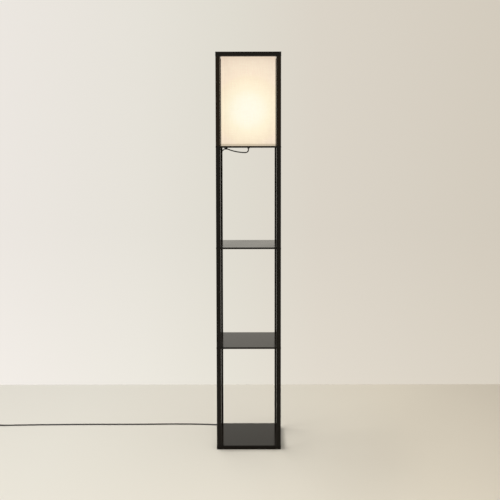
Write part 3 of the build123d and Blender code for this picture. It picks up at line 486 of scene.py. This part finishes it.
def ribbed_relief(name, turn, material):
    """A sleeve that keeps the cord from bending sharply where it leaves the switch."""
    sleeve = spun(relief_outline(), steps=32)
    middle = Vector((SWITCH_X, SWITCH_Y, CORD_Z)) * MM
    place = Matrix.Translation(middle) @ Matrix.Rotation(turn, 4, "Y")
    bmesh.ops.transform(sleeve, matrix=place, verts=sleeve.verts)
    relief = new_piece(name, to_mesh(sleeve, name, 40), material)
    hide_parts("strain_reliefs")
    return relief


def button_rings(material):
    """Low rings on the foot button, so that a foot finds it and doesn't slip."""
    middle = Vector((SWITCH_X, SWITCH_Y, BUTTON_TOP)) * MM
    rings = []
    for radius in RING_RADII:
        ring = spun([((radius + r) * MM, z * MM) for r, z in RING_SECTION], steps=48, closed=True)
        bmesh.ops.translate(ring, verts=ring.verts, vec=middle)
        rings.append(ring)
    new_piece(
        "button_rings", to_mesh(joined(rings), "button_rings", 50), material,
        body="button",
    )


def plug_grips(material):
    """Rounded upright ribs on both sides of the plug, for the fingers."""
    bm = bmesh.new()
    size = Matrix.Diagonal((*GRIP_SIZE, 1))
    middle_z = (PLUG_LOW[2] + PLUG_HIGH[2]) / 2
    for side in (PLUG_LOW[1], PLUG_HIGH[1]):
        for back in GRIP_PLACES:
            place = Matrix.Translation((PLUG_HIGH[0] - back, side, middle_z))
            bmesh.ops.create_cube(bm, size=1, matrix=Matrix.Scale(MM, 4) @ place @ size)
    bmesh.ops.bevel(
        bm, geom=bm.edges[:], offset=GRIP_ROUND * MM, offset_type="OFFSET", segments=3, profile=0.5,
        affect="EDGES", material=-1,
    )
    return new_piece("plug_grips", to_mesh(bm, "plug_grips", 50), material)


class LAMP_OT_cord(bpy.types.Operator):
    """Lay the mains cord from the lamp shelf to the switch, and the coiled rest of it to the plug."""

    bl_idname = "lamp.cord"
    bl_label = "Mains cord"

    def execute(self, context):
        size = context.scene.lamp_cord
        jacket = cord_jacket()
        rubber = moulded("black_rubber", (0.020, 0.019, 0.018), 0.62, grain_deep=0.06 * MM)
        lamp_side = ribbed_relief("lamp_side_relief", pi / 2, rubber)
        plug_side = ribbed_relief("plug_side_relief", -pi / 2, rubber)
        grips = plug_grips(rubber)
        dress_all(("plug_body", "coil_tie"), rubber)
        mains = cord_curve("mains_cord", MAINS_POINTS, size.diameter, jacket)
        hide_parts("cord_under_shelf", "cord_up_post", "cord_on_floor")
        exit_x, exit_y, _ = LEAD_EXIT
        lead = [LEAD_EXIT, *((exit_x - along, exit_y, high) for along, high in LEAD_SINKS)]
        turns = coil_points()
        end_x, end_y, end_z = turns[-1]
        tail = [(end_x + along, end_y, end_z) for along in (TAIL_STRAIGHT, PLUG_LEAD)]
        coil = cord_curve("coiled_cord", lead + turns + tail, size.diameter, jacket)
        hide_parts("cord_coil")
        dressed("cord_in_stem", jacket)
        return {"FINISHED"}


class LAMP_OT_cord_fittings(bpy.types.Operator):
    """Finish the clips, the bushing, the foot switch, its button's rings and the plug's blades."""

    bl_idname = "lamp.cord_fittings"
    bl_label = "Cord fittings"

    def execute(self, context):
        plastic = moulded("black_plastic", (0.016, 0.015, 0.014), 0.42)
        dress_all(("cord_bushing", "cord_clips", "switch_base", "switch_cover", "contact_block"), plastic)
        glossy = moulded("black_button", (0.024, 0.023, 0.022), 0.36)
        dressed("foot_button", glossy)
        button_rings(glossy)
        dressed("plug_blades", metal("plug_brass", (0.62, 0.60, 0.56), 0.24, brushed="X"))
        dressed("button_spring", metal("spring_steel", (0.50, 0.50, 0.50), 0.28))
        return {"FINISHED"}


# ---- tower -------------------------------------------------------------------------------------
class LAMP_OT_tower(bpy.types.Operator):
    """Finish the posts, rails, boards and their fasteners."""

    bl_idname = "lamp.tower"
    bl_label = "Tower"

    def execute(self, context):
        upright = black_lacquer("black_frame", "Z")
        across = black_lacquer("black_frame_across", "X")
        deep = black_lacquer("black_frame_deep", "Y")
        board = black_lacquer("black_board", "X")
        # posts of the lamp box: black with painted warm lamp light
        lit = black_lacquer("black_frame_painted_lamp_light", "Z", PAINTED_LAMP_LIGHT)
        dress_all([f"{corner}_post_{level}" for corner in CORNERS for level in OPEN_LEVELS], upright)
        dress_all([f"{corner}_post_lamp" for corner in CORNERS], lit)
        dress_all(("top_rail_front", "top_rail_back"), across)
        dress_all(("top_rail_left", "top_rail_right"), deep)
        dress_all(("lower_shelf", "middle_shelf", "lamp_shelf"), board)
        dressed("base_board", black_lacquer("black_base", "X", gleam=0.42))
        steel = metal("zinc_steel", (0.56, 0.56, 0.55), 0.30)
        dress_all(
            ("base_screws", "lower_shelf_studs", "middle_shelf_studs", "lamp_shelf_studs", "switch_screws"),
            steel,
        )
        dressed("top_frame_dowels", beech())
        return {"FINISHED"}


# ---- shade -------------------------------------------------------------------------------------
SHADE_LOW, SHADE_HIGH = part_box("shade")
SHADE_HALF = SHADE_HIGH.x
SHADE_TALL = SHADE_HIGH.z - SHADE_LOW.z
BULB_LOW, BULB_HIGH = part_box("bulb_globe")
BULB_RADIUS = (BULB_HIGH.x - BULB_LOW.x) / 2
BULB_CENTRE = BULB_HIGH.z - BULB_RADIUS

CLOTH_THICK, TRIM_THICK = 0.6 * MM, 0.4 * MM
CLOTH_INSET, HEM_INSET, TRIM_INSET = 0.6 * MM, 0.1 * MM, 0.2 * MM     # in from the shade's outer side
CLOTH_FOLD, HEM_FOLD = 2.2 * MM, 2.4 * MM                           # radius at the shade's corners
TAPE_FOLD = ((2.4, 0), (1.4, 0.3), (0.3, 1.4), (0, 2.4))             # bend of a tape, in millimetres
CLOTH_ROWS, HEM_ROWS = 18, 3
SEAM_LEFT, SEAM_WIDE = -94 * MM, 8 * MM      # lapped seam of the cloth, at the back near a corner

GLOW_REACH = 0.34        # distance from the bulb at which the ramp of the cloth's light ends
GLOW_STOPS = (           # distance from the bulb in metres, lit cloth as it shows
    (0.108, (255, 250, 231)), (0.119, (255, 249, 227)), (0.137, (254, 243, 214)),
    (0.151, (254, 239, 210)), (0.166, (251, 234, 205)), (0.182, (250, 231, 206)),
    (0.208, (246, 228, 204)), (0.240, (243, 224, 201)), (0.290, (234, 212, 190)),
)
ROOM_LIGHT = (0.168, 0.143, 0.106)     # what the cloth shows of the room's light, scene-linear


def glow_stops(brightness, blue):
    """The cloth's painted light along the ramp: what shows less the room's light, yellower for less blue.
    """
    tint = (brightness, brightness, brightness * blue)
    for distance, shown in GLOW_STOPS:
        own = [
            max(0.0, value - room) * part
            for value, room, part in zip(screen_colour(shown), ROOM_LIGHT, tint)
        ]
        yield distance / GLOW_REACH, (*own, 1)


def lit_cloth(name, brightness, blue=1.0):
    """Linen with the bulb's light through it painted on as a glow, brightest and whitest near the bulb;
    brightness scales both the painted glow and the cloth's own colour, blue only the glow.
    """
    look = bpy.context.scene.lamp_shade
    shader = Shader(name)
    flat = shader.add("TexCoord").outputs["UV"]
    warp, weft = (
        shader.maths("SINE", shader.maths("MULTIPLY", shader.axis(way, flat), 2 * pi / look.weave))
        for way in "XY"
    )
    weave = shader.span(shader.maths("MULTIPLY", warp, weft), -1, 1)
    slubs = [
        shader.noise(shader.place(stretch, "UV"), scale=1.0) for stretch in ((260, 22, 1), (22, 260, 1))
    ]
    cloud = shader.maths("MULTIPLY", shader.maths("ADD", *slubs), 0.5)
    texture = shader.maths(
        "ADD", shader.span(weave, 0, 1, -0.02, 0.02), shader.span(cloud, 0.3, 0.7, 0.955, 1.045),
    )
    from_bulb = shader.add("Mapping", {
        "Vector": shader.add("TexCoord").outputs["Object"], "Location": (0, 0, -BULB_CENTRE),
    }).outputs[0]
    distance = shader.add("VectorMath", {0: from_bulb}, operation="LENGTH").outputs["Value"]
    reach = shader.maths("DIVIDE", distance, GLOW_REACH)
    glow = shader.add("Emission", {
        "Color": shader.ramp(reach, *glow_stops(brightness, blue)),
        "Strength": shader.maths("MULTIPLY", texture, look.glow),
    })
    dark, pale = (scaled(look.cloth, part * brightness) for part in (0.93, 1.05))
    cloth = shader.add("BsdfPrincipled", {
        "Base Color": shader.ramp(cloud, (0.3, dark), (0.7, pale)),
        "Roughness": 0.85, "Specular IOR Level": 0.2, "Sheen Weight": 0.15, "Sheen Roughness": 0.5,
        "Normal": shader.bump(weave, 0.12 * MM, 0.7),
    })
    return shader.finish(shader.add("AddShader", {0: glow.outputs[0], 1: cloth.outputs[0]}))


def girth_line(half, radius, fold_steps=4, flat_steps=12):
    """Points round a square with rounded corners, from the left end of its back."""
    flat = half - radius
    side = [Vector((-flat + 2 * flat * i / flat_steps, half, 0)) for i in range(flat_steps + 1)]
    angles = [i / fold_steps * pi / 2 for i in range(1, fold_steps)]
    fold = [Vector((flat + radius * sin(a), flat + radius * cos(a), 0)) for a in angles]
    return [
        Matrix.Rotation(-quarter * pi / 2, 3, "Z") @ point for quarter in range(4) for point in side + fold
    ]


def tape_lines(width):
    """The four lines that the corner tapes follow, round the shade's corners."""
    edge = SHADE_HALF - TRIM_INSET
    bend = [(across * MM, down * MM) for across, down in TAPE_FOLD]
    line = [Vector((across - edge, edge - down, 0)) for across, down in [(width, 0), *bend, (0, width)]]
    return [[Matrix.Rotation(quarter * pi / 2, 3, "Z") @ point for point in line] for quarter in range(4)]


def cloth_band(bm, line, foot, height, rows, closed):
    """Raise a line of points into a band of cloth, row by row."""
    first = [bm.verts.new((point.x, point.y, foot)) for point in line]
    ends = first[1:] + first[:1] if closed else first[1:]
    edges = [bm.edges.new(pair) for pair in zip(first, ends)]
    for _ in range(rows):
        grown = bmesh.ops.extrude_edge_only(bm, edges=edges)["geom"]
        verts = {item for item in grown if isinstance(item, bmesh.types.BMVert)}
        bmesh.ops.translate(bm, verts=list(verts), vec=(0, 0, height / rows))
        edges = [
            item for item in grown if isinstance(item, bmesh.types.BMEdge) and verts.issuperset(item.verts)
        ]


def outward(bm):
    """Turn the faces of an upright band away from the lamp's axis."""
    bm.normal_update()
    for face in bm.faces:
        middle = face.calc_center_median()
        if face.normal.x * middle.x + face.normal.y * middle.y < 0:
            face.normal_flip()


def unwrap_girth(bm):
    """Lay each face flat by the side of the square that it is on: girth across, height up."""
    uv = bm.loops.layers.uv.new("UVMap")
    bm.normal_update()
    for face in bm.faces:
        normal = face.normal
        for loop in face.loops:
            x, y, z = loop.vert.co
            if abs(normal.x) > abs(normal.y):
                across = y if normal.x > 0 else 4 * SHADE_HALF - y
            else:
                across = 2 * SHADE_HALF + x if normal.y < 0 else 6 * SHADE_HALF - x
            loop[uv].uv = (across, z)


def sewn(name, material, thickness, lines, feet, height, rows, closed=False):
    """A piece of the shade: a band of cloth of one height for each line and each foot."""
    bm = bmesh.new()
    for foot in feet:
        for line in lines:
            cloth_band(bm, line, foot, height, rows, closed)
    outward(bm)
    unwrap_girth(bm)
    piece = new_piece(name, to_mesh(bm, name, 60, turn=False), material)
    wall = piece.modifiers.new("Thickness", "SOLIDIFY")
    wall.thickness = thickness
    wall.offset = -1
    return piece


class LAMP_OT_shade(bpy.types.Operator):
    """Sew the square linen shade, its corner tapes, hems and back seam."""

    bl_idname = "lamp.shade"
    bl_label = "Shade"

    def execute(self, context):
        look = context.scene.lamp_shade
        foot, crown = SHADE_LOW.z, SHADE_HIGH.z
        cloth_half = SHADE_HALF - CLOTH_INSET
        cloth = sewn(
            "shade_cloth", lit_cloth("shade_fabric", 1.0), CLOTH_THICK,
            [girth_line(cloth_half, CLOTH_FOLD)], [foot], SHADE_TALL, CLOTH_ROWS, closed=True,
        )
        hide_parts("shade")
        between = {"feet": [foot + look.hem], "height": SHADE_TALL - 2 * look.hem, "rows": CLOTH_ROWS}
        # painted light: the corner tapes are a little lighter, as the rounded corners face the bulb
        tapes = sewn(
            "shade_corner_tapes", lit_cloth("shade_corner_tape", 1.04), TRIM_THICK,
            tape_lines(look.tape), **between,
        )
        # painted shade: the hems are darker and yellower, as the doubled cloth and the wire rings behind
        # pass less of the bulb's light
        hems = sewn(
            "shade_hems", lit_cloth("shade_hem", 0.72, 0.94), TRIM_THICK,
            [girth_line(SHADE_HALF - HEM_INSET, HEM_FOLD)], [foot, crown - look.hem], look.hem, HEM_ROWS,
            closed=True,
        )
        lap = [Vector((x, SHADE_HALF - TRIM_INSET, 0)) for x in (SEAM_LEFT + SEAM_WIDE, SEAM_LEFT)]
        # painted shade: the lapped seam is darker, as the doubled cloth passes less of the bulb's light
        seam = sewn("shade_back_seam", lit_cloth("shade_seam", 0.90), TRIM_THICK, [lap], **between)
        dress_all(("shade_ring_bottom", "shade_ring_top"), moulded("white_wire", (0.72, 0.71, 0.69), 0.35))
        return {"FINISHED"}


# ---- holder and bulb ---------------------------------------------------------------------------
NECK_RADIUS = 12.5 * MM
NECK_MEETS = radians(48)       # how far below its middle the round glass runs into the hollow neck
NECK_STEPS, GLOBE_STEPS = 8, 22


def bulb_profile():
    """Half outline of the bulb, from its neck to its crown, as (radius, height)."""
    touch_r, touch_z = BULB_RADIUS * cos(NECK_MEETS), BULB_CENTRE - BULB_RADIUS * sin(NECK_MEETS)
    hollow = (touch_r - NECK_RADIUS) / (1 - cos(NECK_MEETS))
    start_z = touch_z - hollow * sin(NECK_MEETS)
    points = [(0, BULB_LOW.z), (NECK_RADIUS, BULB_LOW.z)]
    for step in range(NECK_STEPS):
        angle = NECK_MEETS * step / NECK_STEPS
        points.append((NECK_RADIUS + hollow * (1 - cos(angle)), start_z + hollow * sin(angle)))
    for step in range(GLOBE_STEPS):
        angle = (NECK_MEETS + pi / 2) * step / GLOBE_STEPS - NECK_MEETS
        points.append((BULB_RADIUS * cos(angle), BULB_CENTRE + BULB_RADIUS * sin(angle)))
    return points + [(0, BULB_HIGH.z)]


def opal_glass():
    """Milky glass, lit from within and brightest from its middle up."""
    shader = Shader("opal_glass")
    strength = shader.span(shader.axis("Z"), BULB_LOW.z, BULB_CENTRE, 0.45, 0.95, smooth=True)
    glow = shader.add("Emission", {"Color": (1.0, 0.88, 0.68, 1), "Strength": strength})
    cloud = shader.noise(shader.place(), scale=60.0)
    glass = shader.add("BsdfPrincipled", {
        "Base Color": shader.ramp(cloud, (0.3, (0.78, 0.77, 0.74, 1)), (0.7, (0.84, 0.83, 0.80, 1))),
        "Roughness": 0.18, "Coat Weight": 0.3, "Coat Roughness": 0.08,
    })
    return shader.finish(shader.add("AddShader", {0: glow.outputs[0], 1: glass.outputs[0]}))


class LAMP_OT_light(bpy.types.Operator):
    """Finish the lamp holder and light the opal bulb."""

    bl_idname = "lamp.light"
    bl_label = "Holder and bulb"

    def execute(self, context):
        glass = spun(bulb_profile(), steps=56)
        bulb = new_piece("bulb", to_mesh(glass, "bulb", 50), opal_glass())
        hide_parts("bulb_globe")
        dress_all(("holder_cap", "holder_shell"), moulded("holder_plastic", (0.016, 0.015, 0.014), 0.34))
        black_metal = metal("black_metal", (0.02, 0.02, 0.02), 0.35)
        dress_all(("flange_plate", "stem_pipe", "flange_screws"), black_metal)
        dressed("holder_liner", moulded("white_insulator", (0.62, 0.60, 0.55), 0.3))
        dressed("screw_sleeve", metal("nickel_sleeve", (0.66, 0.63, 0.58), 0.22))
        dressed("centre_contact", metal("brass_contact", (0.70, 0.50, 0.22), 0.25))
        dressed("bulb_cap", metal("bulb_cap_metal", (0.66, 0.64, 0.60), 0.25))
        return {"FINISHED"}


# ---- stage -------------------------------------------------------------------------------------
CAMERA_PLACE = (0.00896, -3.21583, 1.21398)
CAMERA_PITCH, CAMERA_YAW, CAMERA_ROLL = radians(3.585), radians(-0.0534), radians(-0.0885)
FOCAL_PIXELS = 777.075
FRAME_PIXELS = 500
CENTRE_ROW = 198.574     # row of the photograph that the lens looks straight at
SENSOR_WIDTH = 36.0      # millimetres

STAGE_WIDE, STAGE_DEEP, WALL_HIGH = 12.0, 12.0, 6.0
WALL_LIGHT_STOPS = (           # across the wall in metres from the middle, painted light as it shows: lighter at the left towards the window, darker and warmer to the right
    (-1.3, (236, 231, 225)), (-0.55, (230, 226, 217)), (-0.1, (224, 220, 209)),
    (0.35, (219, 212, 200)), (1.3, (211, 203, 189)),
)
FLOOR_LIGHT_STOPS = (          # across the floor likewise, colour with painted light and shade: darkest far out to the left under the window, lightest near the middle, darker and warmer to the right
    (-4.5, (172, 169, 163)), (-1.4, (212, 209, 201)), (-0.8, (218, 215, 206)), (0.0, (222, 217, 205)),
    (0.7, (221, 213, 197)), (1.3, (210, 201, 185)),
)
FLOOR_SHADE_FADE = (-0.55, 0.70, 0.985, 0.855)     # painted shade: from this y to that one, colour times this to that, darker towards the wall
WALL_FADE = (0.0, 0.8, 1.068, 1.0)           # painted light: from this height to that one, light times this to that, a little brighter near the floor
SKY_LOW = (0.12, (0.30, 0.29, 0.275, 1))     # upward part of the direction, colour of the even light
SKY_HIGH = (0.65, (1.0, 0.985, 0.955, 1))
PALE_ROOM = (228, 223, 213)                  # what shows beyond the floor and the wall

WINDOW_SIZE = (18.0, 2.6)
WINDOW_PLACE, WINDOW_AIM = Vector((-6.2, 2.2, 4.6)), Vector((0, 0, 0.7))
WINDOW_COLOUR = (1.0, 0.985, 0.96)


def camera_frame():
    """The camera's place and axes."""
    forward = Vector((
        sin(CAMERA_YAW) * cos(CAMERA_PITCH), cos(CAMERA_YAW) * cos(CAMERA_PITCH), -sin(CAMERA_PITCH)
    ))
    right = Vector((cos(CAMERA_YAW), -sin(CAMERA_YAW), 0))
    up = right.cross(forward)
    across = right * cos(CAMERA_ROLL) + up * sin(CAMERA_ROLL)
    upright = up * cos(CAMERA_ROLL) - right * sin(CAMERA_ROLL)
    turned = Matrix((across, upright, -forward)).transposed().to_4x4()
    return Matrix.Translation(CAMERA_PLACE) @ turned


def across_stage(shader, stops):
    """Colour ramp along X, from metres to the ramp's own range."""
    low, high = stops[0][0], stops[-1][0]
    parts = [((at - low) / (high - low), screen_colour(colour)) for at, colour in stops]
    return shader.ramp(shader.span(shader.axis("X"), low, high), *parts)


def stage_sheet(name, wide, high, place, material):
    """A plain sheet for the floor or the wall, facing up before it is placed."""
    bm = bmesh.new()
    bmesh.ops.create_grid(bm, x_segments=8, y_segments=8, size=0.5)
    bmesh.ops.scale(bm, verts=bm.verts, vec=(wide, high, 1))
    bmesh.ops.transform(bm, verts=bm.verts, matrix=place)
    sheet = bpy.data.objects.new(name, to_mesh(bm, name, turn=False))
    sheet.data.materials.append(material)
    bpy.context.scene.collection.objects.link(sheet)
    return sheet


def floor_paint():
    """Matt floor with painted light and shade across it, darker towards the wall."""
    shader = Shader("stage_floor")
    paint = shader.add("VectorMath", {
        0: across_stage(shader, FLOOR_LIGHT_STOPS), "Scale": shader.span(shader.axis("Y"), *FLOOR_SHADE_FADE),
    }, operation="SCALE")
    return shader.finish(shader.add("BsdfDiffuse", {"Color": paint.outputs[0]}))


def wall_paint():
    """Wall with its soft light painted on as a glow, lighter at the left and near the floor; it shows from
    its front alone and takes no light from the floor.
    """
    shader = Shader("stage_wall")
    paint = shader.add("Emission", {
        "Color": across_stage(shader, WALL_LIGHT_STOPS), "Strength": shader.span(shader.axis("Z"), *WALL_FADE),
    })
    front = shader.maths("SUBTRACT", 1.0, shader.add("NewGeometry").outputs["Backfacing"])
    return shader.finish(shader.add("MixShader", {
        0: shader.maths("MULTIPLY", shader.in_view(), front),
        1: shader.add("BsdfTransparent").outputs[0], 2: paint.outputs[0],
    }))


def studio_world(fill):
    """Even light from above for the lamp, and a pale room for the camera."""
    world = bpy.data.worlds.new("studio")
    world.use_nodes = True
    nodes = Nodes(world.node_tree)
    upward = nodes.axis("Z", nodes.add("TexCoord").outputs["Generated"])
    even = nodes.add("Background", {"Color": nodes.ramp(upward, SKY_LOW, SKY_HIGH), "Strength": fill})
    pale = nodes.add("Background", {"Color": screen_colour(PALE_ROOM), "Strength": 1.0})
    mix = nodes.add("MixShader", {0: nodes.in_view(), 1: even.outputs[0], 2: pale.outputs[0]})
    nodes.add("OutputWorld", {"Surface": mix.outputs[0]})
    return world


def window_light(power):
    """A wide window high up behind and to the left, which nothing mirrors."""
    data = bpy.data.lights.new("window", "AREA")
    data.shape = "RECTANGLE"
    data.size, data.size_y = WINDOW_SIZE
    data.energy = power
    data.color = WINDOW_COLOUR
    window = bpy.data.objects.new("window", data)
    window.location = WINDOW_PLACE
    window.rotation_euler = (WINDOW_AIM - WINDOW_PLACE).to_track_quat("-Z", "Y").to_euler()
    window.visible_glossy = False
    bpy.context.scene.collection.objects.link(window)


def photo_camera():
    """The camera where the photographer's stood."""
    lens = bpy.data.cameras.new("photo_camera")
    lens.sensor_width = SENSOR_WIDTH
    lens.lens = FOCAL_PIXELS / FRAME_PIXELS * SENSOR_WIDTH
    lens.shift_y = (CENTRE_ROW - FRAME_PIXELS / 2) / FRAME_PIXELS
    camera = bpy.data.objects.new("photo_camera", lens)
    bpy.context.scene.collection.objects.link(camera)
    camera.matrix_world = camera_frame()
    return camera


class LAMP_OT_stage(bpy.types.Operator):
    """Set the floor, the wall, the light and the camera."""

    bl_idname = "lamp.stage"
    bl_label = "Stage"

    def execute(self, context):
        scene = context.scene
        studio = scene.lamp_studio
        floor = stage_sheet("floor", STAGE_WIDE, STAGE_DEEP, Matrix.Identity(4), floor_paint())
        upright = Matrix.Translation((0, studio.wall, WALL_HIGH / 2)) @ Matrix.Rotation(pi / 2, 4, "X")
        wall = stage_sheet("wall", STAGE_WIDE, WALL_HIGH, upright, wall_paint())
        scene.world = studio_world(studio.fill)
        window_light(studio.key)
        scene.camera = photo_camera()
        scene.view_settings.view_transform = "Standard"
        return {"FINISHED"}


# ---- add-on ------------------------------------------------------------------------------------
class LAMP_PT_panel(bpy.types.Panel):
    """Lists the lamp's pieces in the order they are made."""

    bl_idname = "LAMP_PT_panel"
    bl_label = "Shelf floor lamp"
    bl_space_type = "VIEW_3D"
    bl_region_type = "UI"
    bl_category = "Floor lamp"

    def draw(self, context):
        for piece in PIECES:
            self.layout.operator(piece.bl_idname)
        for group in SETTINGS:
            box = self.layout.box()
            for name in group.__annotations__:
                box.prop(getattr(context.scene, SETTINGS[group]), name)


SETTINGS = {
    FinishSettings: "lamp_finish", ShadeSettings: "lamp_shade", CordSettings: "lamp_cord",
    StudioSettings: "lamp_studio",
}
PIECES = (
    LAMP_OT_stage, LAMP_OT_cord, LAMP_OT_cord_fittings, LAMP_OT_tower, LAMP_OT_shade, LAMP_OT_light,
)


def register():
    for group, place in SETTINGS.items():
        bpy.utils.register_class(group)
        setattr(bpy.types.Scene, place, bpy.props.PointerProperty(type=group))
    for piece in (*PIECES, LAMP_PT_panel):
        bpy.utils.register_class(piece)


def unregister():
    for piece in reversed((*PIECES, LAMP_PT_panel)):
        bpy.utils.unregister_class(piece)
    for group, place in SETTINGS.items():
        delattr(bpy.types.Scene, place)
        bpy.utils.unregister_class(group)


def main():
    register()
    bpy.ops.lamp.stage()
    bpy.ops.lamp.cord()
    bpy.ops.lamp.cord_fittings()
    bpy.ops.lamp.tower()
    bpy.ops.lamp.shade()
    bpy.ops.lamp.light()


if __name__ == "__main__":
    main()
